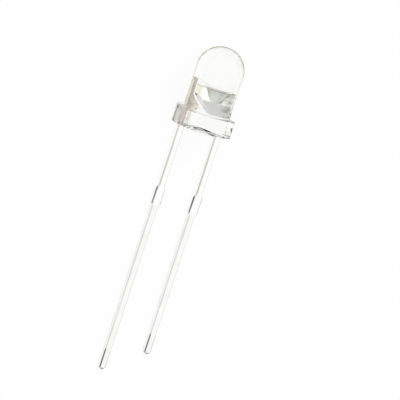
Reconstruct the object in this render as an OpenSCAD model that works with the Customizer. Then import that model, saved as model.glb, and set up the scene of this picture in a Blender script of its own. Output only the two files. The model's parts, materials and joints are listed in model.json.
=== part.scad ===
// A clear 3 mm through-hole light-emitting diode, lying as it comes to rest.
// It rests on the rim of its flange and on the ends of its two leads, dome towards +Y.
// Every module below is drawn in the diode's own upright frame: +Z up the lens,
// z = 0 at the seating face, the lead frame in the XZ plane, the anode at -X.
// lying() then lays each finished piece down in the same way.

/* [Lens] */
// Diameter of the barrel
body_d = 3; // [2.8:0.05:3.2]
// Height from the seating face to the top of the dome
lens_h = 5.3; // [4.9:0.1:7]
// Diameter of the flange
flange_d = 3.85; // [3.7:0.05:4.4]
// Height of the flange
flange_h = 1.1; // [1:0.05:1.3]
// How far the cathode-side flat stands out from the barrel
flat_proud = 0.03; // [0.02:0.01:0.1]
// Radius of the fillet where the barrel meets the flange
neck_r = 0.1; // [0.05:0.01:0.15]

/* [Leads] */
// Distance between the middles of the two leads
lead_pitch = 2.54; // [2.4:0.01:2.6]
// Width of each lead, across the row
lead_w = 0.4; // [0.34:0.01:0.46]
// Thickness of the sheet that the lead frame is stamped from
lead_t = 0.5; // [0.4:0.01:0.56]
// Length of the anode lead below the seating face
anode_len = 16; // [12:0.1:26]
// Length of the cathode lead below the seating face
cathode_len = 14.4; // [12:0.1:25]
// Offset of the leads' middle from the lens axis, the anode's way
lead_shift = 0.12; // [0:0.01:0.15]
// Corner cut off each side of a lead's end
tip_cut = 0.12; // [0.04:0.01:0.15]

/* [Standoffs] */
// Distance from the seating face down to the standoffs
standoff_drop = 4; // [2:0.1:6]
// Height of each standoff
standoff_h = 1.3; // [0.8:0.05:1.8]
// Width of each standoff
standoff_w = 0.6; // [0.52:0.01:0.8]
// Height of the slope at each end of a standoff
standoff_slope = 0.15; // [0.05:0.01:0.3]

/* [Lead frame in the lens] */
// Height at which both sides of the frame widen into the barrel
frame_base = 0.94; // [0.85:0.01:1]
// Least thickness of lens left outside the frame
skin = 0.06; // [0.04:0.01:0.1]
// Height of the slope in which the frame steps in from the leads
jog_h = 0.35; // [0.3:0.05:0.6]
// Height of the post's top
post_top = 3; // [2.9:0.05:3.3]
// Width of the post
post_w = 0.22; // [0.2:0.01:0.26]
// Height at which the post starts to flare into its foot
post_flare = 2; // [1.9:0.05:2.2]
// Length of the foot, from the post's outer edge to its toe
foot_l = 0.81; // [0.7:0.01:0.85]
// Height of the toe's upper corner
toe_h = 1.45; // [1.3:0.05:1.6]
// Slanted cut under the toe
toe_cut = 0.16; // [0.1:0.01:0.25]
// Width of the anvil across the cup
anvil_w = 1.62; // [1.56:0.01:1.66]
// Height at which the anvil starts to narrow on the post's side
anvil_flare = 2.08; // [1.95:0.01:2.2]
// Height at which the anvil has narrowed to its width on the lead's side
anvil_neck = 1.5; // [1.3:0.05:1.7]
// Width of the anvil's lower edge
anvil_base_w = 0.64; // [0.6:0.01:0.8]
// Radius of the stamped corners
corner_r = 0.05; // [0.02:0.01:0.08]

/* [Reflector cup] */
// Offset of the cup from the lens axis, the cathode's way
cup_shift = 0.1; // [0:0.01:0.12]
// Height of the cup's rim
cup_top = 2.65; // [2.55:0.05:2.8]
// Diameter of the cup's mouth
cup_mouth_d = 1.04; // [0.96:0.01:1.1]
// Thickness of the cup's wall at its rim
cup_wall = 0.1; // [0.08:0.01:0.12]
// Depth of the cup
cup_depth = 0.38; // [0.3:0.01:0.42]
// Diameter of the cup's floor
cup_floor_d = 0.6; // [0.56:0.01:0.66]
// Height of the cup's outer cone
cup_cone_h = 0.8; // [0.7:0.01:0.85]
// Diameter of the outer cone's lower end
cup_cone_d = 0.62; // [0.58:0.01:0.7]

/* [Chip and bond wires] */
// Side of the chip
chip_w = 0.3; // [0.24:0.01:0.34]
// Height of the chip
chip_h = 0.1; // [0.08:0.01:0.14]
// Thickness of the adhesive under the chip
attach_t = 0.02; // [0.01:0.005:0.03]
// How far the adhesive squeezes out past each side of the chip
attach_edge = 0.03; // [0.02:0.01:0.05]
// Distance between the chip's two bond pads
pad_gap = 0.16; // [0.14:0.01:0.18]
// Diameter of the bond wire
wire_d = 0.03; // [0.02:0.005:0.04]
// Diameter of the ball bond on a pad
ball_d = 0.08; // [0.06:0.01:0.09]
// Height of the ball bond and of the stitch bond
bond_h = 0.04; // [0.03:0.01:0.05]
// Length of the stitch bond at the wire's far end
stitch_l = 0.12; // [0.08:0.01:0.14]
// Width of the stitch bond
stitch_w = 0.06; // [0.05:0.01:0.1]
// Rise of the anode wire above a straight line between its bonds
anode_loop = 0.4; // [0.3:0.05:0.6]
// Rise of the cathode wire above a straight line between its bonds
cathode_loop = 0.3; // [0.25:0.05:0.4]

/* [Hidden] */
$fn = 96;

// How far a cutting solid runs past the face that it cuts
past = 1;

body_r = body_d / 2;
flange_r = flange_d / 2;
flat_x = body_r + flat_proud;
neck_top = flange_h + neck_r;

// The frame's furthest reach from the lens axis inside the barrel
reach = sqrt(body_r * body_r - lead_t * lead_t / 4) - skin;

// The frame steps in from the lead to the barrel within the flange
jog_top = flange_h - skin;
jog_base = jog_top - jog_h;

anode_x = -lead_pitch / 2 - lead_shift;
cathode_x = lead_pitch / 2 - lead_shift;

post_x = -reach + post_w / 2;
toe_x = -reach + foot_l;

cup_x = cup_shift;
cup_mouth_r = cup_mouth_d / 2;
cup_floor_z = cup_top - cup_depth;
anvil_left = cup_x - anvil_w / 2;
anvil_right = cup_x + anvil_w / 2;
anvil_base_left = anvil_right - anvil_base_w;

attach_w = chip_w + 2 * attach_edge;
chip_z = cup_floor_z + attach_t;
pad_z = chip_z + chip_h;

// Middle of the ledge between the cup's rim and the anvil's far edge
ledge_x = (cup_x + cup_mouth_r + cup_wall + anvil_right) / 2;

// Rest pose. A point (x, depth, z) of the upright diode, with depth measured
// towards the floor, touches the floor where depth = rest_a + rest_b * x + rest_c * z.
// The flange's rim and one corner of each lead's end give the three values.
tip_side = anode_len >= cathode_len ? 1 : -1;
tip_reach = tip_side * (lead_w / 2 - tip_cut);
slope_ratio = (cathode_len - anode_len) / lead_pitch;
tip_arm = anode_len - slope_ratio * (anode_x + tip_reach);
quad_a = tip_arm * tip_arm - pow(flange_r * slope_ratio, 2);
quad_b = lead_t * tip_arm;
quad_c = lead_t * lead_t / 4 - flange_r * flange_r;
rest_c = (-quad_b + sqrt(quad_b * quad_b - 4 * quad_a * quad_c)) / (2 * quad_a);
rest_b = slope_ratio * rest_c;
rest_a = flange_r * sqrt(1 + rest_b * rest_b);

roll = -atan(rest_b);
pitch_up = atan(rest_c / sqrt(1 + rest_b * rest_b));
seat_z = rest_a / sqrt(1 + rest_b * rest_b + rest_c * rest_c);

// The middle of the laid part's box is set over the origin
flat_half = sqrt(flange_r * flange_r - flat_x * flat_x);
flat_reach = flat_x * cos(roll) + flat_half * abs(sin(roll));
standoff_reach = (cathode_x + standoff_w / 2) * cos(roll) + lead_t / 2 * abs(sin(roll));
mid_x = (max(flat_reach, standoff_reach) - flange_r) / 2;
dome_y = (lens_h - body_r) * cos(pitch_up) + body_r;
tips_y = min(tip_y(anode_x, anode_len), tip_y(cathode_x, cathode_len));
mid_y = (dome_y + tips_y) / 2;

function tip_y(x, length) =
    -length * cos(pitch_up)
    - (lead_t / 2 * cos(roll) - (x - tip_reach) * sin(roll)) * sin(pitch_up);

// Lays an upright piece down in the rest pose.
module lying() {
    translate([-mid_x, -mid_y, seat_z])
        rotate([pitch_up, 0, 0])
        rotate([0, roll, 0])
        rotate([-90, 0, 0])
        children();
}

// Gives a flat outline in XZ its thickness, half to each side of the XZ plane.
module sheet(t) {
    rotate([90, 0, 0])
        linear_extrude(height = t, center = true)
        children();
}

// Rounds the outer corners of an outline, as stamping leaves them.
module stamped() {
    offset(r = corner_r, $fn = 24)
        offset(delta = -corner_r)
        children();
}

// One lead's outline: a straight strip with a wider standoff and a blunt point.
module lead_outline(x, length) {
    half = lead_w / 2;
    wide = standoff_w / 2;
    low = standoff_drop + standoff_h;
    edge = [
        [half, jog_base],
        [half, -standoff_drop],
        [wide, -standoff_drop - standoff_slope],
        [wide, -low + standoff_slope],
        [half, -low],
        [half, tip_cut - length],
        [half - tip_cut, -length]
    ];
    back = [for (i = [len(edge) - 1:-1:0]) [-edge[i][0], edge[i][1]]];
    translate([x, 0])
        polygon(concat(edge, back));
}

// The anode's post, with the foot that locks it into the lens.
module post_outline() {
    polygon([
        [anode_x - lead_w / 2, 0],
        [anode_x - lead_w / 2, jog_base],
        [-reach, jog_top],
        [-reach, post_top],
        [-reach + post_w, post_top],
        [-reach + post_w, post_flare],
        [toe_x, toe_h],
        [toe_x, frame_base + toe_cut],
        [toe_x - toe_cut, frame_base],
        [anode_x + lead_w / 2, frame_base],
        [anode_x + lead_w / 2, 0]
    ]);
}

// The cathode's anvil, which carries the cup.
module anvil_outline() {
    polygon([
        [cathode_x + lead_w / 2, 0],
        [cathode_x + lead_w / 2, jog_base],
        [min(cathode_x + lead_w / 2, reach), jog_top],
        [anvil_right, anvil_neck],
        [anvil_right, cup_top],
        [anvil_left, cup_top],
        [anvil_left, anvil_flare],
        [anvil_base_left, frame_base],
        [cathode_x - lead_w / 2, frame_base],
        [cathode_x - lead_w / 2, 0]
    ]);
}

// A round solid between two heights on the cup's axis.
module cup_cone(low, high, low_r, high_r) {
    translate([cup_x, 0, low])
        cylinder(h = high - low, r1 = low_r, r2 = high_r);
}

// The hollow of the cup, run on past its rim at the same slope.
module cup_hollow() {
    slope = (cup_mouth_r - cup_floor_d / 2) / cup_depth;
    cup_cone(cup_floor_z, cup_top + past, cup_floor_d / 2, cup_mouth_r + slope * past);
}

// A block on the cup's floor or on what stands there.
module cup_block(side, low, high) {
    translate([cup_x, 0, (low + high) / 2])
        cube([side, side, high - low], center = true);
}

// A bond wire: a ball on the chip's pad, a loop in the XZ plane, and a stitch.
module bond_wire(pad_x, end_x, end_z, loop) {
    from = [pad_x, pad_z + bond_h / 2];
    to = [end_x, end_z + bond_h / 2];
    chord = to - from;
    span = norm(chord);
    loop_r = (span * span / 4 + loop * loop) / (2 * loop);
    half_turn = acos(1 - loop / loop_r);
    up = [-chord[1], chord[0]] / span * sign(chord[0]);
    mid = (from + to) / 2 - up * (loop_r - loop);
    translate([pad_x, 0, pad_z])
        cylinder(h = bond_h, d = ball_d);
    translate([mid[0], 0, mid[1]])
        rotate([90, 0, 0])
        rotate([0, 0, atan2(up[1], up[0]) - half_turn])
        rotate_extrude(angle = 2 * half_turn)
        translate([loop_r, 0])
        circle(d = wire_d);
    translate([end_x, 0, end_z + bond_h / 2])
        cube([stitch_l, stitch_w, bond_h], center = true);
}

// Upright pieces. The lead frame and the wires also cut their own space in the lens.

module anode_up() {
    sheet(lead_t)
        stamped() {
            lead_outline(anode_x, anode_len);
            post_outline();
        }
}

module cathode_up() {
    difference() {
        union() {
            sheet(lead_t)
                stamped() {
                    lead_outline(cathode_x, cathode_len);
                    anvil_outline();
                }
            cup_cone(cup_top - cup_cone_h, cup_top, cup_cone_d / 2, cup_mouth_r + cup_wall);
        }
        cup_hollow();
    }
}

module chip_up() {
    cup_block(chip_w, chip_z, pad_z);
}

module attach_up() {
    cup_block(attach_w, cup_floor_z, chip_z);
}

// What the chip and its adhesive take of the lens, run down into the cup's floor.
module chip_space() {
    sunk = attach_t / 2;
    cup_block(chip_w, chip_z - sunk, pad_z);
    cup_block(attach_w, cup_floor_z - sunk, chip_z);
}

module anode_wire_up() {
    bond_wire(cup_x - pad_gap / 2, post_x, post_top, anode_loop);
}

module cathode_wire_up() {
    bond_wire(cup_x + pad_gap / 2, ledge_x, cup_top, cathode_loop);
}

// Half of the lens's section: flange, neck fillet, barrel and dome.
module lens_section() {
    square([body_r, lens_h - body_r]);
    square([flange_r, flange_h]);
    difference() {
        translate([0, flange_h])
            square([body_r + neck_r, neck_r]);
        translate([body_r + neck_r, neck_top])
            circle(r = neck_r);
    }
    intersection() {
        translate([0, lens_h - body_r])
            circle(r = body_r);
        square([body_r, lens_h]);
    }
}

module lens_up() {
    difference() {
        rotate_extrude()
            lens_section();
        translate([flat_x, -flange_d / 2, -past])
            cube([flange_d, flange_d, neck_top + past]);
        anode_up();
        cathode_up();
        chip_space();
        anode_wire_up();
        cathode_wire_up();
    }
}

// The cast clear epoxy: flange, barrel and domed lens in one piece.
module lens() {
    color([0.93, 0.96, 0.97, 0.35])
        lying()
        lens_up();
}

// The longer lead, with the post that the anode wire is bonded to.
module anode_lead() {
    color([0.82, 0.81, 0.78])
        lying()
        anode_up();
}

// The shorter lead, with the anvil and its reflector cup.
module cathode_lead() {
    color([0.78, 0.78, 0.76])
        lying()
        cathode_up();
}

// The light-emitting chip.
module led_chip() {
    color([0.55, 0.65, 0.62])
        lying()
        chip_up();
}

// The adhesive that holds the chip in the cup.
module die_attach() {
    color([0.85, 0.85, 0.80])
        lying()
        attach_up();
}

// The gold wire from the chip to the post.
module anode_wire() {
    color([0.86, 0.68, 0.30])
        lying()
        anode_wire_up();
}

// The gold wire from the chip to the anvil.
module cathode_wire() {
    color([0.86, 0.68, 0.30])
        lying()
        cathode_wire_up();
}

lens();
anode_lead();
cathode_lead();
led_chip();
die_attach();
anode_wire();
cathode_wire();
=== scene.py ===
"""A clear 3 mm through-hole light-emitting diode, dressed around its CAD frame.

Every piece is built upright in millimetres, in the diode's own frame: +Z up the lens, z = 0 at the
seating face, the lead frame in the XZ plane, the anode at -X and the front at -Y. lay_down() then
puts its mesh in the row frame, in metres.
"""
import json
import math

import bmesh
import bpy
from mathutils import Matrix, Vector


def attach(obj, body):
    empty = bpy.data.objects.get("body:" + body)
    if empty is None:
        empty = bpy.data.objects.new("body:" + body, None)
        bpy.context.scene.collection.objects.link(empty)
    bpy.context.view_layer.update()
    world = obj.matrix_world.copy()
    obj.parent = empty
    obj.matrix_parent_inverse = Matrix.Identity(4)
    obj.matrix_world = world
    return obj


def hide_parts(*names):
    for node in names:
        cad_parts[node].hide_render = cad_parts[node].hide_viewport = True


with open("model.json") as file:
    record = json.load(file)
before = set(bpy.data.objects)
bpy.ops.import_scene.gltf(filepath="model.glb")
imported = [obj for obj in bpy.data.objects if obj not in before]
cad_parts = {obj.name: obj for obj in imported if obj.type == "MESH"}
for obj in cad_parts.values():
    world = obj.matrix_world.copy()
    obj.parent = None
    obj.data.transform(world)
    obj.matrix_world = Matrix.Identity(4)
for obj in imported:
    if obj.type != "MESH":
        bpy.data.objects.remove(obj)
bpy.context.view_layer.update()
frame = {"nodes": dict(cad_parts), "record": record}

MM = 0.001
NODES = frame["nodes"]
MOUNTS = {mount["name"]: mount for mount in frame["record"]["mounts"]}


# ---------------------------------------------------------------- the diode's own frame

def upright_frame():
    """The matrix from the upright frame, in millimetres, to the row frame, in metres."""
    up = Vector(MOUNTS["lens_barrel"]["axis"]).normalized()
    across = Vector(MOUNTS["cathode_pin"]["pos_m"]) - Vector(MOUNTS["anode_pin"]["pos_m"])
    across = (across - across.dot(up) * up).normalized()
    turn = Matrix((across, up.cross(across), up)).transposed().to_4x4()
    return Matrix.Translation(MOUNTS["flange_seat"]["pos_m"]) @ turn @ Matrix.Scale(MM, 4)


UPRIGHT = upright_frame()
TO_UPRIGHT = UPRIGHT.inverted()


def upright_points(node):
    """A CAD node's vertices in the upright frame."""
    return [TO_UPRIGHT @ vertex.co for vertex in NODES[node].data.vertices]


def across_radius(point):
    """How far a point of the upright frame lies from the lens's axis."""
    return math.hypot(point.x, point.y)


LENS_POINTS = upright_points("lens")
BODY_R = MOUNTS["lens_barrel"]["dims"]["r_mm"]
LENS_H = max(p.z for p in LENS_POINTS)
FLANGE_R = max(across_radius(p) for p in LENS_POINTS)
FLANGE_H = max(p.z for p in LENS_POINTS if across_radius(p) > (BODY_R + FLANGE_R) / 2)
FLAT_X = max(p.x for p in LENS_POINTS)
CHIP_POINTS = upright_points("led_chip")
CHIP_X = (min(p.x for p in CHIP_POINTS) + max(p.x for p in CHIP_POINTS)) / 2
CHIP_HALF = max(p.x for p in CHIP_POINTS) - CHIP_X
CHIP_LOW = min(p.z for p in CHIP_POINTS)
CHIP_TOP = max(p.z for p in CHIP_POINTS)
CUP_FLOOR = min(p.z for p in upright_points("die_attach"))
POST_TOP = max(p.z for p in upright_points("anode_lead"))
CUP_TOP = max(p.z for p in upright_points("cathode_lead"))

# Heights and sizes that the CAD meshes don't give by themselves, in millimetres.
STANDOFF_LOW = -5.3
STANDOFF_HIGH = -4.0
STANDOFF_HALF = 0.3
CUP_LOW = 1.85
TIP_ZONE = 0.3


def lead_measures(node):
    """A lead's middle across, its half width, its half thickness and its length, from its tip."""
    points = upright_points(node)
    low = min(p.z for p in points)
    tip = [p for p in points if p.z < low + TIP_ZONE]
    left, right = min(p.x for p in tip), max(p.x for p in tip)
    return (left + right) / 2, (right - left) / 2, max(p.y for p in tip), -low


ANODE = lead_measures("anode_lead")
CATHODE = lead_measures("cathode_lead")
LEAD_X = (ANODE[0], CATHODE[0])
HALF_WIDTH = ANODE[1]
HALF_SHEET = ANODE[2]


# ---------------------------------------------------------------- mesh helpers

def in_scene(name, data):
    """A new object of the scene that holds this mesh or camera."""
    piece = bpy.data.objects.new(name, data)
    bpy.context.scene.collection.objects.link(piece)
    return piece


def lay_down(name, mesh, material, slot, *replaced):
    """Puts an upright mesh in the row frame as a finished piece that rides on the diode."""
    mesh.transform(UPRIGHT)
    mesh.materials.clear()
    mesh.materials.append(material)
    piece = in_scene(name, mesh)
    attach(piece, "root")
    if replaced:
        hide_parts(*replaced)


def to_mesh(form, name, smooth=True):
    """Turns a bmesh into a mesh with outward faces."""
    bmesh.ops.recalc_face_normals(form, faces=form.faces)
    mesh = bpy.data.meshes.new(name)
    form.to_mesh(mesh)
    form.free()
    for polygon in mesh.polygons:
        polygon.use_smooth = smooth
    return mesh


def plain_mesh(holder):
    """The mesh that an object's modifiers make. The object itself is removed."""
    graph = bpy.context.evaluated_depsgraph_get()
    mesh = bpy.data.meshes.new_from_object(holder.evaluated_get(graph), depsgraph=graph)
    bpy.data.objects.remove(holder)
    return mesh


def skin_rings(form, rings):
    """Faces between each ring of vertices and the next."""
    for low, high in zip(rings, rings[1:]):
        for i in range(len(low)):
            j = (i + 1) % len(low)
            form.faces.new((low[i], low[j], high[j], high[i]))


# ---------------------------------------------------------------- shader helpers

def add_node(tree, kind, **settings):
    """A new node of this kind, with these settings."""
    node = tree.nodes.new(kind)
    for key, value in settings.items():
        setattr(node, key, value)
    return node


def shader_group(name, inputs, outputs):
    """An empty shader node group with named sockets, and its two end nodes."""
    tree = bpy.data.node_groups.new(name, "ShaderNodeTree")
    for label, kind, value in inputs:
        socket = tree.interface.new_socket(label, in_out="INPUT", socket_type=kind)
        socket.default_value = value
    for label, kind in outputs:
        tree.interface.new_socket(label, in_out="OUTPUT", socket_type=kind)
    return tree, tree.nodes.new("NodeGroupInput"), tree.nodes.new("NodeGroupOutput")


def feed(tree, value, socket):
    """Sets a socket to a number, or links another socket to it."""
    if isinstance(value, (int, float)):
        socket.default_value = value
    else:
        tree.links.new(value, socket)


def set_inputs(tree, node, inputs):
    """Sets inputs of a node by their names, each to a number or to another socket."""
    for label, value in inputs.items():
        feed(tree, value, node.inputs[label])


def noise(tree, vector, scale, detail, roughness=0.5):
    """A noise texture's value, on this vector. The scale may be a socket or a number."""
    texture = add_node(tree, "ShaderNodeTexNoise")
    set_inputs(tree, texture, {
        "Vector": vector, "Scale": scale, "Detail": detail, "Roughness": roughness})
    return texture.outputs["Fac"]


def ranged(tree, value, low, high, to_low=0.0, to_high=1.0):
    """Maps a value from one range to another, clamped. Each limit may be a socket or a number."""
    span = add_node(tree, "ShaderNodeMapRange")
    set_inputs(tree, span, {
        "Value": value, "From Min": low, "From Max": high, "To Min": to_low, "To Max": to_high})
    return span.outputs["Result"]


def varied(tree, value, least, most):
    """Spreads a noise, which seldom leaves 0.3 to 0.7, over a range."""
    return ranged(tree, value, 0.3, 0.7, least, most)


def step(tree, value, edge, soft):
    """0 below an edge and 1 above it, with a soft width on each side."""
    return ranged(tree, value, edge - soft, edge + soft)


def mixed(tree, share, first, second):
    """Mixes two colours by a share. Each may be a socket or a colour."""
    mix = add_node(tree, "ShaderNodeMix", data_type="RGBA")
    feed(tree, share, mix.inputs[0])
    for socket, colour in ((mix.inputs[6], first), (mix.inputs[7], second)):
        if isinstance(colour, tuple):
            socket.default_value = (*colour, 1)
        else:
            feed(tree, colour, socket)
    return mix.outputs[2]


def bumped(tree, height, distance):
    """A bump normal from a height. The distance is in millimetres."""
    bump = add_node(tree, "ShaderNodeBump")
    set_inputs(tree, bump, {"Distance": distance * MM, "Height": height})
    return bump.outputs["Normal"]


def upright_place(tree):
    """A material's place on the diode, in the upright frame, in millimetres."""
    place = add_node(tree, "ShaderNodeTexCoord").outputs["Object"]
    turned = add_node(tree, "ShaderNodeMapping", vector_type="TEXTURE")
    turned.inputs["Location"].default_value = UPRIGHT.translation
    turned.inputs["Rotation"].default_value = UPRIGHT.to_euler()
    turned.inputs["Scale"].default_value = (MM, MM, MM)
    feed(tree, place, turned.inputs["Vector"])
    return turned.outputs["Vector"]


def maths(tree, operation, first, second=None):
    """A maths node's value. Each input may be a socket or a number."""
    node = add_node(tree, "ShaderNodeMath", operation=operation)
    feed(tree, first, node.inputs[0])
    if second is not None:
        feed(tree, second, node.inputs[1])
    return node.outputs[0]


def product(tree, *values):
    """Several values multiplied together."""
    total = values[0]
    for value in values[1:]:
        total = maths(tree, "MULTIPLY", total, value)
    return total


def rest_of(tree, share):
    """What is left of a share: 1 where it is 0."""
    return maths(tree, "SUBTRACT", 1.0, share)


def band(tree, value, low, high, soft):
    """1 where a value lies between two limits, falling to 0 over a soft edge at each."""
    return product(tree, ranged(tree, value, low - soft, low),
                   ranged(tree, value, high, high + soft, 1.0, 0.0))


def axes(tree, vector):
    """A vector's X, Y and Z."""
    split = add_node(tree, "ShaderNodeSeparateXYZ")
    feed(tree, vector, split.inputs[0])
    return tuple(split.outputs)


def drawn_metal_group():
    """Lines along a drawn or stamped metal piece, with small pits and duller patches."""
    tree, start, end = shader_group(
        "drawn_metal",
        [("Vector", "NodeSocketVector", (0, 0, 0)),
         ("Line Scale", "NodeSocketFloat", 9.0),
         ("Patch Scale", "NodeSocketFloat", 1.5)],
        [("Lines", "NodeSocketFloat"), ("Pits", "NodeSocketFloat"), ("Patches", "NodeSocketFloat")])
    stretch = add_node(tree, "ShaderNodeMapping")
    stretch.inputs["Scale"].default_value = (1.0, 1.0, 0.05)
    feed(tree, start.outputs["Vector"], stretch.inputs["Vector"])
    lines = noise(tree, stretch.outputs["Vector"], start.outputs["Line Scale"], 4.0, 0.6)
    pits = noise(tree, start.outputs["Vector"], start.outputs["Line Scale"], 2.0, 0.7)
    patches = noise(tree, start.outputs["Vector"], start.outputs["Patch Scale"], 2.0)
    set_inputs(tree, end, {
        "Lines": lines,
        "Pits": ranged(tree, pits, 0.30, 0.42),
        "Patches": ranged(tree, patches, 0.35, 0.65)})
    return tree


def cast_skin_group():
    """The skin of a cast or flowed resin: slow waves and a fine grain."""
    tree, start, end = shader_group(
        "cast_skin",
        [("Vector", "NodeSocketVector", (0, 0, 0)),
         ("Wave Scale", "NodeSocketFloat", 1.0),
         ("Grain Scale", "NodeSocketFloat", 30.0)],
        [("Waves", "NodeSocketFloat"), ("Grain", "NodeSocketFloat")])
    waves = noise(tree, start.outputs["Vector"], start.outputs["Wave Scale"], 1.0)
    grain = noise(tree, start.outputs["Vector"], start.outputs["Grain Scale"], 2.0)
    set_inputs(tree, end, {"Waves": waves, "Grain": grain})
    return tree


DRAWN_METAL = drawn_metal_group()
CAST_SKIN = cast_skin_group()


# ---------------------------------------------------------------- materials

TIN_BRIGHT = (0.965, 0.955, 0.94)
TIN_DULL = (0.92, 0.915, 0.895)
TIN_DULLER = (0.87, 0.865, 0.84)
SILVER_BRIGHT = (0.97, 0.97, 0.96)
# Painted grey shade on the anvil's front, standing in for the darker reflection there.
PAINTED_SHADE_GREY = (0.76, 0.765, 0.75)
PAINTED_SHADE_GREYER = (0.68, 0.685, 0.66)
SILVER_GREEN = (0.88, 0.91, 0.85)
SILVER_WARM = (1.0, 0.93, 0.85)
SILVER_WARMER = (1.0, 0.89, 0.79)
SILVER_BEIGE = (0.97, 0.92, 0.82)
SILVER_OLIVE = (0.99, 0.99, 0.91)
# Painted shade on the anvil's side towards the post.
PAINTED_SHADE_STRAW = (0.91, 0.89, 0.75)
DARK_BROWN = (0.42, 0.33, 0.25)
# Bare steel for the cut ends, and the painted dark line standing in for dark reflections along the
# leads' corners.
BARE_STEEL_AND_PAINTED_LINE = (0.05, 0.045, 0.04)
# The same painted dark line in brown, on the leads above the dip.
PAINTED_LINE_BROWN = (0.30, 0.22, 0.16)
# Dark olive for the anvil's painted reflection beyond the cup and its painted shade along the cone.
PAINTED_OLIVE = (0.30, 0.31, 0.22)
EPOXY_CLEAR = (0.995, 0.995, 0.985)
EPOXY_COOL = (0.98, 0.985, 0.975)
# Olive painted along the lens's outline where it is seen edge on, standing in for its dark edge.
PAINTED_EDGE_OLIVE = (0.52, 0.47, 0.18)
GOLD = (0.95, 0.86, 0.66)
GOLD_DEEPER = (0.90, 0.80, 0.58)
ADHESIVE_PALE = (0.78, 0.77, 0.73)
ADHESIVE_GREY = (0.56, 0.55, 0.52)
CRYSTAL_DARK = (0.42, 0.52, 0.47)
CRYSTAL_PALE = (0.50, 0.58, 0.52)


def new_material(name, group, **values):
    """A material, its tree, its Principled shader, an effect group and its place on the diode."""
    material = bpy.data.materials.new(name)
    material.use_nodes = True
    tree = material.node_tree
    shader = tree.nodes["Principled BSDF"]
    place = upright_place(tree)
    effect = add_node(tree, "ShaderNodeGroup", node_tree=group)
    feed(tree, place, effect.inputs["Vector"])
    for label, value in values.items():
        effect.inputs[label.replace("_", " ").title()].default_value = value
    return material, tree, shader, effect, place


def gold():
    """Drawn gold wire, with faint lines along it."""
    material, tree, shader, effect, _ = new_material(
        "gold_wire", DRAWN_METAL, line_scale=60.0, patch_scale=12.0)
    set_inputs(tree, shader, {
        "Base Color": mixed(tree, effect.outputs["Patches"], GOLD, GOLD_DEEPER),
        "Metallic": 1.0,
        "Roughness": varied(tree, effect.outputs["Lines"], 0.18, 0.32),
        "Normal": bumped(tree, effect.outputs["Pits"], 0.0004)})
    return material


# How far from the sheet's two faces the sheared sides start.
SHEAR_EDGE = 0.025
SHEAR_SOFT = 0.015


def rolled_face(tree, y):
    """1 on the front and back of the sheet, and 0 on its sheared sides."""
    return step(tree, maths(tree, "ABSOLUTE", y), HALF_SHEET - SHEAR_EDGE, SHEAR_SOFT)


# Where the dipped tin ends, and how far the painted dark line along a corner, which stands in for
# the dark reflection there, goes from the corner, down the side and over the face. What is at the
# tip is counted up from the lead's end.
DIP_FULL = STANDOFF_LOW - 0.1
DIP_END = STANDOFF_LOW + 0.3
STANDOFF_INSET = 0.08
PAINTED_LINE_DEPTH = 0.12
PAINTED_LINE_DEPTH_FULL = 0.048
PAINTED_LINE_CORE = 0.04
PAINTED_LINE_NARROW = 0.08
PAINTED_LINE_WIDE = 0.13
TIP_LINE = 1.45
TIP_FADE = 0.25
CUT_END = 0.05
CUT_END_FADE = 0.09


def tin_colour(tree, place, effect, lead_x, length):
    """Tin on a lead. It is duller below the standoff, where the lead was dipped, and its cut end is
    bare steel. Painted dark lines on its front along the corners, strongest at the standoff and
    near the tip and brown above the dip, stand in for the dark reflections on those corners."""
    x, y, z = axes(tree, place)
    dipped = ranged(tree, z, DIP_FULL, DIP_END, 1.0, 0.0)
    dull_tin_and_painted_shade = mixed(tree, effect.outputs["Patches"], TIN_DULL, TIN_DULLER)
    tin = mixed(tree, dipped, TIN_BRIGHT, dull_tin_and_painted_shade)

    # Painted dark lines on the front, full along the left corner and half along the right, standing
    # in for dark reflections: strongest at the standoff and near the tip, fainter elsewhere.
    off = maths(tree, "SUBTRACT", x, lead_x)
    at_standoff = band(
        tree, z, STANDOFF_LOW + STANDOFF_INSET, STANDOFF_HIGH - STANDOFF_INSET, 0.1)
    half = ranged(tree, at_standoff, 0.0, 1.0, HALF_WIDTH, STANDOFF_HALF)
    width = ranged(tree, z, STANDOFF_LOW, STANDOFF_HIGH, PAINTED_LINE_NARROW, PAINTED_LINE_WIDE)
    left = ranged(tree, maths(tree, "ADD", off, half), PAINTED_LINE_CORE, width, 1.0, 0.0)
    right = ranged(tree, maths(tree, "SUBTRACT", half, off), PAINTED_LINE_CORE, PAINTED_LINE_NARROW, 0.5, 0.0)
    front = ranged(tree, y, PAINTED_LINE_DEPTH - HALF_SHEET, PAINTED_LINE_DEPTH_FULL - HALF_SHEET)
    ragged = ranged(tree, effect.outputs["Lines"], 0.35, 0.6, 0.6, 1.0)
    tip = ranged(tree, z, TIP_LINE - length, TIP_LINE - TIP_FADE - length)
    faint = ranged(tree, z, STANDOFF_LOW, STANDOFF_HIGH, 0.25, 0.6)
    line_strength = maths(tree, "MAXIMUM", maths(tree, "MAXIMUM", tip, at_standoff), faint)
    painted_corner_line = product(tree, maths(tree, "MAXIMUM", left, right), front, ragged, line_strength)

    # The painted lines are brown above the dip and as dark as the bare cut end below it and at the
    # standoff.
    brown_line_and_bare_end = mixed(tree, dipped, PAINTED_LINE_BROWN, BARE_STEEL_AND_PAINTED_LINE)
    steel_and_painted_line = mixed(tree, at_standoff, brown_line_and_bare_end, BARE_STEEL_AND_PAINTED_LINE)
    cut_end = ranged(tree, z, CUT_END_FADE - length, CUT_END - length, 0.0, 0.8)
    return mixed(tree, maths(tree, "MAXIMUM", painted_corner_line, cut_end), tin, steel_and_painted_line)


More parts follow.
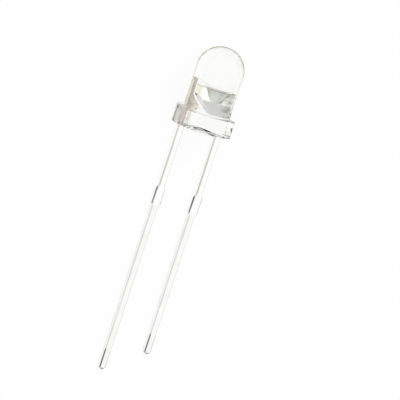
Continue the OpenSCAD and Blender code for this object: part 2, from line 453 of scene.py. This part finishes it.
# The foot's sloping edge, by its tilt and its distance from the seating face's middle, with the
# brown along it and the brown swirl; where the post's front shows as bare metal; and how metallic
# its sides are.
FOOT_SLOPE = math.radians(47)
FOOT_REACH = 0.645
FOOT_EDGE = 0.09
FOOT_TOP = 2.0
FOOT_BROWN = 0.8
SWIRL_TOP = 1.9
SWIRL_BROWN = 0.55
SWIRL_SCALE = 3.2
VEIN_CORE = 0.015
VEIN_EDGE = 0.05
BRIGHT_LOW = 1.6
BRIGHT_TOP = 2.2
BRIGHT_LEFT = -1.15
BRIGHT_RIGHT = -0.95
POST_SIDE_METAL = 0.5
FLANGE_SIDE_METAL = 0.1


def post_finish(tree, place, effect, matt, fine):
    """The anode's post: warm dull silver, with beige sides that are olive in the flange. Its foot
    is brighter at the toe, and has a brown swirl and a brown edge along its slope. Gives the
    colour, the metallic share, and the roughness of the rolled and of the sheared faces."""
    x, y, z = axes(tree, place)
    rolled = rolled_face(tree, y)
    face = mixed(tree, effect.outputs["Patches"], SILVER_WARM, SILVER_WARMER)
    side = mixed(tree, step(tree, z, FLANGE_H, 0.2), SILVER_OLIVE, SILVER_BEIGE)
    silver = mixed(tree, rolled, side, face)
    cloud = noise(tree, place, SWIRL_SCALE, 3.0, 0.6)
    vein = maths(tree, "ABSOLUTE", maths(tree, "SUBTRACT", cloud, 0.5))
    swirl = product(tree, ranged(tree, vein, VEIN_CORE, VEIN_EDGE, SWIRL_BROWN, 0.0),
                    band(tree, z, FLANGE_H, SWIRL_TOP, 0.2))
    reach = maths(tree, "ADD", product(tree, x, math.cos(FOOT_SLOPE)),
                  product(tree, z, math.sin(FOOT_SLOPE)))
    edge = product(tree, ranged(tree, reach, FOOT_REACH - FOOT_EDGE, FOOT_REACH, 0.0, FOOT_BROWN),
                   rest_of(tree, step(tree, z, FOOT_TOP, 0.05)))
    dark_marks = product(tree, maths(tree, "MAXIMUM", swirl, edge), rolled)
    bright = product(tree, ranged(tree, z, BRIGHT_LOW, BRIGHT_TOP, 1.0, 0.0),
                     ranged(tree, x, BRIGHT_LEFT, BRIGHT_RIGHT))
    side_metal = ranged(tree, z, FLANGE_H - 0.1, FLANGE_H + 0.1, FLANGE_SIDE_METAL, POST_SIDE_METAL)
    metal = ranged(tree, rolled, 0.0, 1.0, side_metal, bright)
    return mixed(tree, dark_marks, silver, DARK_BROWN), ranged(tree, z, 0.0, 0.2, 1.0, metal), matt, fine


# How far the cone stands out from the sheet where its finish starts, the straw-coloured painted
# shade on the side and the diagonal under it, the painted shade band up the cone's flank, the
# painted reflection beyond the cup, and the rim.
CONE_PROUD = 0.02
STRAW_X = -0.65
STRAW_LOW = 2.0
DIAGONAL_LOW = 1.0
DIAGONAL_HIGH = 1.9
DIAGONAL_ROUGH = 0.3
SHADE_LOW_X = 0.183
SHADE_HIGH_X = 0.567
SHADE_WIDTH = 0.06
CRINKLE_SCALE = 5.0
CRINKLE_LOW = 0.44
CRINKLE_HIGH = 0.54
PAINTED_REFLECTION_FROM = 0.30
PAINTED_REFLECTION_FULL = 0.65
PAINTED_REFLECTION_MOST = 0.7
RIM_LOW = 0.08
RIM_FULL = 0.03


def anvil_finish(tree, place, effect, matt, fine):
    """The cathode's anvil: bright silver round the coined cup, and below it on the rolled faces a
    painted grey shade that stands in for a darker reflection. It has a straw-coloured painted shade
    on the side towards the post with a duller diagonal under it, a darker brown rim, and on the
    side away from the post a crinkled dark olive painted reflection and a painted shade band up the
    cone's flank. Gives the colour, the metallic share, and the roughness of the rolled and of the
    sheared faces."""
    x, y, z = axes(tree, place)
    rolled = rolled_face(tree, y)
    above_cup_low = step(tree, z, CUP_LOW, 0.03)
    above_flange = ranged(tree, z, FLANGE_H - 0.1, FLANGE_H)
    flush = step(tree, y, -HALF_SHEET - CONE_PROUD, 0.01)
    painted_grey = mixed(tree, effect.outputs["Patches"], PAINTED_SHADE_GREY, PAINTED_SHADE_GREYER)
    # Painted grey shade on the rolled faces between the flange and the cup, standing in for the
    # darker reflection there.
    dull_tin_and_painted_shade = product(tree, rolled, rest_of(tree, above_cup_low), above_flange)
    silver = mixed(tree, dull_tin_and_painted_shade, SILVER_BRIGHT, painted_grey)
    silver = mixed(tree, flush, SILVER_GREEN, silver)
    # A straw-coloured painted shade on the upper side towards the post, which lies in shadow.
    painted_shade_side = product(tree, rest_of(tree, step(tree, x, STRAW_X, 0.03)),
                        step(tree, z, STRAW_LOW, 0.1), rest_of(tree, rolled))
    silver = mixed(tree, painted_shade_side, silver, PAINTED_SHADE_STRAW)

    # A dark olive painted reflection in crinkled patches beyond the cup, and a band of painted
    # shade just past the cone's edge up its flank.
    crinkle = ranged(tree, noise(tree, place, CRINKLE_SCALE, 4.0, 0.7), CRINKLE_LOW, CRINKLE_HIGH)
    far_side = ranged(tree, x, CHIP_X + PAINTED_REFLECTION_FROM, CHIP_X + PAINTED_REFLECTION_FULL, 0.0, PAINTED_REFLECTION_MOST)
    flank = ranged(tree, z, CUP_LOW, CUP_TOP, CHIP_X + SHADE_LOW_X, CHIP_X + SHADE_HIGH_X)
    painted_shade_band = product(tree, band(tree, maths(tree, "SUBTRACT", x, flank), 0.0, SHADE_WIDTH, 0.05),
                     band(tree, z, CUP_LOW + 0.1, CUP_TOP - 0.1, 0.1),
                     ranged(tree, crinkle, 0.0, 1.0, 0.45, 0.9))
    dark_marks = maths(tree, "MAXIMUM", product(tree, crinkle, far_side, above_flange), painted_shade_band)
    silver = mixed(tree, dark_marks, silver, PAINTED_OLIVE)
    # The rim is darker brown in patches.
    rim_share = ranged(tree, effect.outputs["Patches"], 0.0, 1.0, 0.35, 0.75)
    rim = ranged(tree, z, CUP_TOP - RIM_LOW, CUP_TOP - RIM_FULL, 0.0, rim_share)

    coined = product(tree, above_cup_low, flush, rest_of(tree, step(tree, x, CHIP_X, 0.05)))
    polish = ranged(tree, coined, 0.0, 1.0, 1.0, 0.3)
    diagonal = band(tree, z, DIAGONAL_LOW, DIAGONAL_HIGH, 0.1)
    return (mixed(tree, rim, silver, DARK_BROWN), 1.0, product(tree, matt, polish),
            ranged(tree, diagonal, 0.0, 1.0, fine, DIAGONAL_ROUGH))


def plating(name, lead_x, length, inner_finish):
    """Stamped steel: bright tin on the lead and matt silver on the part in the lens."""
    material, tree, shader, effect, place = new_material(
        name, DRAWN_METAL, line_scale=9.0, patch_scale=1.4)
    _, y, z = axes(tree, place)
    lines = effect.outputs["Lines"]
    inner_colour, metal, matt, fine = inner_finish(
        tree, place, effect, varied(tree, lines, 0.34, 0.48), varied(tree, lines, 0.06, 0.15))
    tin = tin_colour(tree, place, effect, lead_x, length)
    in_barrel = product(tree, rolled_face(tree, y), ranged(tree, z, FLANGE_H - 0.1, FLANGE_H))
    set_inputs(tree, shader, {
        "Base Color": mixed(tree, step(tree, z, 0.0, 0.05), tin, inner_colour),
        "Metallic": metal,
        "Roughness": ranged(tree, in_barrel, 0.0, 1.0, fine, matt),
        "Normal": bumped(tree, lines, 0.0002)})
    return material


# How rough the flange's scuffed end is and where it lies in X, and where up the lens the painted
# olive along the outline, which stands in for the lens's dark edge, gets to its full strength.
EPOXY_IOR = 1.53
SCUFFED = 0.15
SCUFF_FROM = -1.55
SCUFF_FULL = -1.72
TINT_LOW = 2.6
TINT_HIGH = 3.8
TINT_LEAST = 0.35


def clear_epoxy():
    """Water-clear cast epoxy, with the slow waves of its mould. Where it is seen edge on, most of
    all at the dome, olive is painted by the angle to the view, standing in for the dark line along
    the lens's outline.
    The flange is scuffed at the anode's end."""
    material, tree, shader, effect, place = new_material("clear_epoxy", CAST_SKIN, wave_scale=1.1)
    x, _, z = axes(tree, place)
    clear = mixed(tree, effect.outputs["Waves"], EPOXY_CLEAR, EPOXY_COOL)
    # Painted olive by the angle to the view, standing in for the dark line at the lens's outline.
    facing = add_node(tree, "ShaderNodeLayerWeight").outputs["Facing"]
    painted_edge_shade = product(tree, ranged(tree, facing, 0.55, 0.85),
                      ranged(tree, z, TINT_LOW, TINT_HIGH, TINT_LEAST, 1.0))
    scuffed = product(tree, ranged(tree, x, SCUFF_FULL, SCUFF_FROM, SCUFFED, 0.0),
                      ranged(tree, z, FLANGE_H, FLANGE_H + 0.05, 1.0, 0.0))
    polished = ranged(tree, effect.outputs["Grain"], 0.35, 0.7, 0.0, 0.03)
    set_inputs(tree, shader, {
        "Base Color": mixed(tree, painted_edge_shade, clear, PAINTED_EDGE_OLIVE),
        "Roughness": maths(tree, "MAXIMUM", scuffed, polished),
        "IOR": EPOXY_IOR,
        "Transmission Weight": 1.0,
        "Normal": bumped(tree, effect.outputs["Waves"], 0.001)})
    return material


def silver_adhesive():
    """Silver-filled die adhesive, lumpy and dull."""
    material, tree, shader, effect, _ = new_material(
        "silver_adhesive", CAST_SKIN, wave_scale=16.0, grain_scale=90.0)
    set_inputs(tree, shader, {
        "Base Color": mixed(tree, effect.outputs["Grain"], ADHESIVE_PALE, ADHESIVE_GREY),
        "Roughness": varied(tree, effect.outputs["Waves"], 0.35, 0.6),
        "Normal": bumped(tree, effect.outputs["Waves"], 0.004)})
    return material


def chip_crystal():
    """The chip's crystal: a grey-green face with faint dicing lines down its sides."""
    material, tree, shader, effect, _ = new_material(
        "chip_crystal", DRAWN_METAL, line_scale=60.0, patch_scale=9.0)
    set_inputs(tree, shader, {
        "Base Color": mixed(tree, effect.outputs["Patches"], CRYSTAL_DARK, CRYSTAL_PALE),
        "Roughness": varied(tree, effect.outputs["Lines"], 0.12, 0.3),
        "Normal": bumped(tree, effect.outputs["Lines"], 0.001)})
    return material


# ---------------------------------------------------------------- the cast lens

# The mesh's steps, the rounded edges, and the seating face's dish and ripples, in millimetres.
SEGMENTS = 192
SEAT_RINGS = 64
EDGE_STEPS = 6
BARREL_STEPS = 12
DOME_STEPS = 44
EDGE_R = 0.07
NECK_R = 0.10
FLAT_SOFT = 0.012
DISH = 0.12
RIPPLE_H = 0.09
RIPPLE_LENGTH = 0.45
RIPPLE_SPREAD = 0.95
RIPPLE_REACH = 0.8
RIPPLE_SWAY = 1.3
RIPPLE_BEND = 2.2
RIPPLE_X = -0.65
RIPPLE_Y = -1.2
DRAWN_DOWN = 0.10


def arc(centre, radius, from_deg, to_deg, steps):
    """Points of a circular arc in a half section, as (radius, height)."""
    turns = [math.radians(from_deg + (to_deg - from_deg) * i / steps) for i in range(steps + 1)]
    return [(centre[0] + radius * math.cos(t), centre[1] + radius * math.sin(t)) for t in turns]


def upright_line(radius, low, high, steps):
    """The points between the ends of an upright line in a half section."""
    return [(radius, low + (high - low) * i / steps) for i in range(1, steps)]


def lens_section():
    """Half of the lens's section from the seating face's middle to the top of the dome."""
    rim = FLANGE_R - EDGE_R
    points = [(rim * i / SEAT_RINGS, 0.0) for i in range(1, SEAT_RINGS)]
    points += arc((rim, EDGE_R), EDGE_R, -90, 0, EDGE_STEPS)
    points += upright_line(FLANGE_R, EDGE_R, FLANGE_H - EDGE_R, EDGE_STEPS)
    points += arc((rim, FLANGE_H - EDGE_R), EDGE_R, 0, 90, EDGE_STEPS)
    barrel_low = FLANGE_H + NECK_R
    barrel_high = LENS_H - BODY_R
    points += arc((BODY_R + NECK_R, barrel_low), NECK_R, 270, 180, EDGE_STEPS)
    points += upright_line(BODY_R, barrel_low, barrel_high, BARREL_STEPS)
    points += arc((0, barrel_high), BODY_R, 0, 88, DOME_STEPS)
    return points


def flat_radius(radius, turn, height):
    """The outline's radius at an angle, cut back by the flange's flat on the cathode side."""
    if height > FLANGE_H + NECK_R or math.cos(turn) <= 0:
        return radius
    flat = (FLAT_X - (FLANGE_R - radius)) if radius > FLAT_X else FLAT_X
    reach = flat / math.cos(turn)
    blend = 0.5 * (radius + reach - math.hypot(radius - reach, FLAT_SOFT))
    return blend if radius > BODY_R + 0.001 else radius


def lens_body():
    """The lens: its section turned round the axis and cut by the flat, with its seating face."""
    form = bmesh.new()
    rings = []
    for radius, height in lens_section():
        ring = []
        for i in range(SEGMENTS):
            turn = 2 * math.pi * i / SEGMENTS
            reach = flat_radius(radius, turn, height)
            ring.append(form.verts.new((reach * math.cos(turn), reach * math.sin(turn), height)))
        rings.append(ring)
    skin_rings(form, rings)
    for ring, height in ((rings[0], 0.0), (rings[-1], LENS_H)):
        middle = form.verts.new((0, 0, height))
        for i in range(SEGMENTS):
            form.faces.new((ring[i], ring[(i + 1) % SEGMENTS], middle))
    for vertex in form.verts:
        if vertex.co.z < 1e-6:
            vertex.co.z = seat_height(vertex.co.x, vertex.co.y)
    return to_mesh(form, "lens_body")


def seat_height(x, y):
    """The seating face: a shallow shrunk dish with frozen ripples, drawn down round each lead."""
    spread = math.exp(-((x - RIPPLE_X) / RIPPLE_SPREAD) ** 2 - ((y - RIPPLE_Y) / RIPPLE_REACH) ** 2)
    wave = math.sin(2 * math.pi * y / RIPPLE_LENGTH + RIPPLE_SWAY * math.sin(RIPPLE_BEND * x))
    height = DISH + RIPPLE_H * spread * (1 + wave)
    for lead_x in LEAD_X:
        gap = math.hypot(max(0.0, abs(x - lead_x) - HALF_WIDTH), max(0.0, abs(y) - HALF_SHEET))
        height -= DRAWN_DOWN * math.exp(-gap / DRAWN_DOWN)
    share = min(1.0, math.hypot(x, y) / (FLANGE_R - EDGE_R))
    return height * (1 - share ** 8)


# ---------------------------------------------------------------- the lead frame

# The rounded edges' width, where they end inside the lens, and what counts as a corner.
LEAD_EDGE = 0.07
INNER_START = 0.15
FLAT_ENOUGH = math.radians(1)
CORNER = math.radians(40)
CURVE_STEP = math.radians(5)


def stamped_lead(node):
    """A CAD lead, with its edges rounded under the tin and left sharp, as stamped, in the lens. The
    cuts by the standoff keep its corners' shading off the straight strip."""
    form = bmesh.new()
    form.from_mesh(NODES[node].data)
    form.transform(TO_UPRIGHT)
    bmesh.ops.remove_doubles(form, verts=form.verts, dist=1e-4)
    bmesh.ops.dissolve_limit(form, angle_limit=FLAT_ENOUGH, verts=form.verts, edges=form.edges)
    for height in (INNER_START, STANDOFF_HIGH + LEAD_EDGE, STANDOFF_LOW - LEAD_EDGE):
        bmesh.ops.bisect_plane(form, geom=form.verts[:] + form.edges[:] + form.faces[:],
                               plane_co=(0, 0, height), plane_no=(0, 0, 1))
    weight = form.edges.layers.float.new("bevel_weight_edge")
    for edge in form.edges:
        turn = edge.calc_face_angle(0.0)
        if (edge.verts[0].co.z + edge.verts[1].co.z) / 2 < INNER_START:
            edge[weight] = 1.0 if turn > CORNER else 0.0
        else:
            sheared = all(abs(face.normal.y) < 0.1 for face in edge.link_faces)
            edge.smooth = turn < (CURVE_STEP if sheared else CORNER)
    holder = in_scene(node + "_holder", to_mesh(form, node + "_plain"))
    bevel = holder.modifiers.new("Bevel", "BEVEL")
    bevel.width = LEAD_EDGE
    bevel.segments = 3
    bevel.limit_method = "WEIGHT"
    bevel.use_clamp_overlap = False
    bevel.harden_normals = True
    return plain_mesh(holder)


# ---------------------------------------------------------------- chip, adhesive and wires

CORNER_STEPS = 5
CHIP_CORNER = 0.012
MESA_STEP = 0.008
BED_CORNER = 0.04


def rounded_square(half, corner):
    """An outline of a square with round corners, anticlockwise."""
    points = []
    for quarter in range(4):
        turn = math.pi / 2 * quarter
        centre = Vector((half - corner, half - corner))
        for i in range(CORNER_STEPS + 1):
            bend = math.pi / 2 * i / CORNER_STEPS
            point = centre + corner * Vector((math.cos(bend), math.sin(bend)))
            points.append((point.x * math.cos(turn) - point.y * math.sin(turn),
                           point.x * math.sin(turn) + point.y * math.cos(turn)))
    return points


def stacked(form, levels, corner):
    """A closed solid through rounded squares, each level given as (half width, height)."""
    rings = [[form.verts.new((CHIP_X + x, y, height)) for x, y in rounded_square(half, corner)]
             for half, height in levels]
    skin_rings(form, rings)
    form.faces.new(reversed(rings[0]))
    form.faces.new(rings[-1])


def chip_die():
    """The chip: a diced block with a small chamfer and a mesa on its top."""
    form = bmesh.new()
    levels = ((0, 2.5), (1, 1.5), (2, 1.5), (2.5, 0))
    stacked(form, [(CHIP_HALF, CHIP_LOW)] + [
        (CHIP_HALF - MESA_STEP * inward, CHIP_TOP - MESA_STEP * down) for inward, down in levels],
        CHIP_CORNER)
    return to_mesh(form, "chip_die", smooth=False)


def adhesive_fillet():
    """The adhesive: a thin bed that climbs a little way up the chip's sides."""
    form = bmesh.new()
    bed = CHIP_LOW - CUP_FLOOR
    levels = ((0.036, 0), (0.036, 0.3), (0.022, 0.9), (0.010, 1.6), (0.002, 2.4), (-0.004, 2.5))
    stacked(form, [(CHIP_HALF + outward, CUP_FLOOR + share * bed) for outward, share in levels],
            BED_CORNER)
    return to_mesh(form, "adhesive_fillet")


# The bond wires' sizes, in millimetres. The stitch's size is in shares of the ball's width and
# height, and the loop's in shares of the wire's span and of its rise.
PAD_X = 0.08
WIRE_D = 0.02
BALL_D = 0.08
BOND_H = 0.04
STITCH_HALF = 0.06
STITCH_SIZE = (1.9, 1.15, 1.15)
ANODE_RISE = 0.40
CATHODE_RISE = 0.32
LOOP_BACK = 0.35
LOOP_DROP = 0.62


def vector_maths(tree, operation, first, second):
    """A vector maths node's vector, from two sockets."""
    node = add_node(tree, "ShaderNodeVectorMath", operation=operation)
    feed(tree, first, node.inputs[0])
    feed(tree, second, node.inputs[1])
    return node.outputs[0]


def scaled(tree, vector, scale):
    """A vector times a number."""
    node = add_node(tree, "ShaderNodeVectorMath", operation="SCALE")
    set_inputs(tree, node, {"Vector": vector, "Scale": scale})
    return node.outputs[0]


def bond_wire_tree(material):
    """A bond wire: a ball on a pad, a loop up and over, and a flattened stitch at its end."""
    tree = bpy.data.node_groups.new("bond_wire", "GeometryNodeTree")
    for label, kind in (("Start", "NodeSocketVector"), ("End", "NodeSocketVector"),
                        ("Rise", "NodeSocketFloat"), ("Wire Diameter", "NodeSocketFloat"),
                        ("Ball Diameter", "NodeSocketFloat"), ("Bond Height", "NodeSocketFloat")):
        tree.interface.new_socket(label, in_out="INPUT", socket_type=kind)
    tree.interface.new_socket("Geometry", in_out="OUTPUT", socket_type="NodeSocketGeometry")
    start = tree.nodes.new("NodeGroupInput")
    end = tree.nodes.new("NodeGroupOutput")

    rise = add_node(tree, "ShaderNodeCombineXYZ")
    feed(tree, start.outputs["Rise"], rise.inputs["Z"])
    lift = vector_maths(tree, "ADD", start.outputs["Start"], rise.outputs[0])
    chord = vector_maths(tree, "SUBTRACT", start.outputs["End"], start.outputs["Start"])
    over = vector_maths(tree, "SUBTRACT", start.outputs["End"], scaled(tree, chord, LOOP_BACK))
    over = vector_maths(tree, "ADD", over, scaled(tree, rise.outputs[0], LOOP_DROP))

    loop = add_node(tree, "GeometryNodeCurvePrimitiveBezierSegment")
    set_inputs(tree, loop, {
        "Resolution": 40, "Start": start.outputs["Start"], "Start Handle": lift,
        "End Handle": over, "End": start.outputs["End"]})
    profile = add_node(tree, "GeometryNodeCurvePrimitiveCircle")
    set_inputs(tree, profile, {
        "Resolution": 16, "Radius": maths(tree, "MULTIPLY", start.outputs["Wire Diameter"], 0.5)})
    wire = add_node(tree, "GeometryNodeCurveToMesh")
    set_inputs(tree, wire, {
        "Curve": loop.outputs[0], "Profile Curve": profile.outputs[0], "Fill Caps": True})

    bond_size = add_node(tree, "ShaderNodeCombineXYZ")
    set_inputs(tree, bond_size, {
        "X": start.outputs["Ball Diameter"], "Y": start.outputs["Ball Diameter"],
        "Z": start.outputs["Bond Height"]})
    ball = add_node(tree, "GeometryNodeMeshUVSphere")
    set_inputs(tree, ball, {"Segments": 24, "Rings": 12, "Radius": 0.5})
    placed_ball = add_node(tree, "GeometryNodeTransform")
    set_inputs(tree, placed_ball, {
        "Geometry": ball.outputs["Mesh"], "Translation": start.outputs["Start"],
        "Scale": bond_size.outputs[0]})

    foot = add_node(tree, "GeometryNodeMeshCube")
    foot.inputs["Size"].default_value = STITCH_SIZE
    set_inputs(tree, foot, {"Vertices X": 3, "Vertices Y": 3, "Vertices Z": 3})
    soft = add_node(tree, "GeometryNodeSubdivisionSurface")
    set_inputs(tree, soft, {"Mesh": foot.outputs["Mesh"], "Level": 2})
    placed_foot = add_node(tree, "GeometryNodeTransform")
    set_inputs(tree, placed_foot, {
        "Geometry": soft.outputs[0], "Translation": start.outputs["End"],
        "Scale": bond_size.outputs[0]})

    joined = add_node(tree, "GeometryNodeJoinGeometry")
    for part in (wire.outputs[0], placed_ball.outputs[0], placed_foot.outputs[0]):
        feed(tree, part, joined.inputs[0])
    smooth = add_node(tree, "GeometryNodeSetShadeSmooth")
    feed(tree, joined.outputs[0], smooth.inputs["Geometry"])
    real = add_node(tree, "GeometryNodeRealizeInstances")
    feed(tree, smooth.outputs[0], real.inputs[0])
    coat = add_node(tree, "GeometryNodeSetMaterial")
    coat.inputs["Material"].default_value = material
    feed(tree, real.outputs[0], coat.inputs["Geometry"])
    feed(tree, coat.outputs[0], end.inputs[0])
    return tree


def grown(tree, name, **values):
    """The plain mesh that a Geometry Nodes tree makes with these inputs."""
    holder = in_scene(name, bpy.data.meshes.new(name))
    modifier = holder.modifiers.new("nodes", "NODES")
    modifier.node_group = tree
    for item in tree.interface.items_tree:
        if item.in_out == "INPUT":
            modifier[item.identifier] = values[item.name.lower().replace(" ", "_")]
    return plain_mesh(holder)


def end_of_wire(node, away):
    """Where a bond wire's far end lies in X: its CAD node's furthest reach, less half a stitch."""
    return away * (max(away * p.x for p in upright_points(node)) - STITCH_HALF)


# ---------------------------------------------------------------- the dressed pieces

def dress():
    """Builds every piece in the place of its CAD node."""
    wire_gold = gold()
    lay_down("lens_body", lens_body(), clear_epoxy(), "clear_epoxy", "lens")
    for node, (lead_x, _, _, length), inner in (("anode_lead", ANODE, post_finish),
                                                ("cathode_lead", CATHODE, anvil_finish)):
        name = node.replace("_lead", "_frame")
        lay_down(name, stamped_lead(node),
                 plating(name + "_plating", lead_x, length, inner), "plated_lead_frame", node)
    lay_down("chip_die", chip_die(), chip_crystal(), "chip", "led_chip")
    lay_down("adhesive_fillet", adhesive_fillet(), silver_adhesive(), "die_adhesive", "die_attach")

    tree = bond_wire_tree(wire_gold)
    for node, side, top, rise in (("anode_wire", -1, POST_TOP, ANODE_RISE),
                                  ("cathode_wire", 1, CUP_TOP, CATHODE_RISE)):
        start = (CHIP_X + side * PAD_X, 0.0, CHIP_TOP + BOND_H / 2)
        end = (end_of_wire(node, side), 0.0, top + BOND_H / 2)
        mesh = grown(tree, node + "_loop", start=start, end=end, rise=rise, wire_diameter=WIRE_D,
                     ball_diameter=BALL_D, bond_height=BOND_H)
        lay_down(node + "_loop", mesh, wire_gold, "gold_wire", node)


# ---------------------------------------------------------------- floor, light and camera

FLOOR_GLOW = 0.9
FLOOR_HALF = 0.4
FLOOR_WHITE = (0.98, 0.98, 0.98)
HORIZON = (0.60, 0.57, 0.46)
WHITE = (1.0, 1.0, 1.0)
ROOM_STRENGTH = 1.06


def seen_directly(tree):
    """1 for rays from the camera, a mirror or glass, and 0 for those that only light things."""
    path = add_node(tree, "ShaderNodeLightPath")
    total = path.outputs["Is Camera Ray"]
    for label in ("Is Glossy Ray", "Is Transmission Ray"):
        total = maths(tree, "MAXIMUM", total, path.outputs[label])
    return total


def blended(tree, share, first, second):
    """Mixes the outputs of two shaders by a share."""
    mix = add_node(tree, "ShaderNodeMixShader")
    feed(tree, share, mix.inputs["Fac"])
    feed(tree, first.outputs[0], mix.inputs[1])
    feed(tree, second.outputs[0], mix.inputs[2])
    return mix.outputs[0]


def floor():
    """A plain white floor under the diode, lit mostly from within so that shadows stay faint."""
    mesh = bpy.data.meshes.new("floor")
    corners = [(x * FLOOR_HALF, y * FLOOR_HALF, 0) for x, y in ((-1, -1), (1, -1), (1, 1), (-1, 1))]
    mesh.from_pydata(corners, [], [(0, 1, 2, 3)])
    material = bpy.data.materials.new("white_floor")
    material.use_nodes = True
    tree = material.node_tree
    paint = tree.nodes["Principled BSDF"]
    paint.inputs["Base Color"].default_value = (*FLOOR_WHITE, 1)
    set_inputs(tree, paint, {"Roughness": 0.9, "Specular IOR Level": 0.0})
    glow = add_node(tree, "ShaderNodeEmission")
    surface = blended(tree, product(tree, seen_directly(tree), FLOOR_GLOW), paint, glow)
    feed(tree, surface, tree.nodes["Material Output"].inputs["Surface"])
    mesh.materials.append(material)
    in_scene("floor", mesh)


def studio():
    """A white room whose walls fall off to grey at the horizon. The camera sees plain white."""
    world = bpy.data.worlds.new("studio")
    bpy.context.scene.world = world
    world.use_nodes = True
    tree = world.node_tree
    tree.nodes.clear()
    _, _, height = axes(tree, add_node(tree, "ShaderNodeTexCoord").outputs["Generated"])
    room = add_node(tree, "ShaderNodeBackground")
    set_inputs(tree, room, {
        "Color": mixed(tree, ranged(tree, height, 0.03, 0.34), HORIZON, WHITE),
        "Strength": ROOM_STRENGTH})
    plain = add_node(tree, "ShaderNodeBackground")
    plain.inputs["Color"].default_value = (*WHITE, 1)
    by_camera = add_node(tree, "ShaderNodeLightPath").outputs["Is Camera Ray"]
    feed(tree, blended(tree, by_camera, room, plain),
         add_node(tree, "ShaderNodeOutputWorld").inputs["Surface"])


# The view, in degrees from the diode's front, with the picture's width and the seating face's place
# in it.
VIEW_TURN = 23.0
VIEW_LIFT = 8.0
VIEW_LEAN = 18.17
VIEW_WIDTH = 24.54 * MM
VIEW_LENS = 500
SEAT_RIGHT = 0.061 * MM
SEAT_UP = 4.356 * MM


def camera():
    """A long lens in front of the diode, turned to its anode side and a little above its seat."""
    turn, lift, lean = (math.radians(a) for a in (VIEW_TURN, VIEW_LIFT, VIEW_LEAN))
    rotation = UPRIGHT.to_3x3().normalized()
    towards = rotation @ Vector((-math.sin(turn) * math.cos(lift), -math.cos(turn) * math.cos(lift),
                                 math.sin(lift)))
    axis = rotation @ Vector((0, 0, 1))
    axis = (axis - axis.dot(towards) * towards).normalized()
    side = axis.cross(towards)
    up = math.cos(lean) * axis - math.sin(lean) * side
    right = math.sin(lean) * axis + math.cos(lean) * side

    data = bpy.data.cameras.new("camera")
    data.lens = VIEW_LENS
    data.clip_start = 0.01
    distance = VIEW_WIDTH / data.sensor_width * data.lens
    eye = in_scene("camera", data)
    target = Vector(MOUNTS["flange_seat"]["pos_m"]) - SEAT_RIGHT * right - SEAT_UP * up
    eye.matrix_world = (Matrix.Translation(target + distance * towards)
                        @ Matrix((right, up, towards)).transposed().to_4x4())
    bpy.context.scene.camera = eye


dress()
floor()
studio()
camera()
bpy.context.scene.view_settings.view_transform = "Standard"
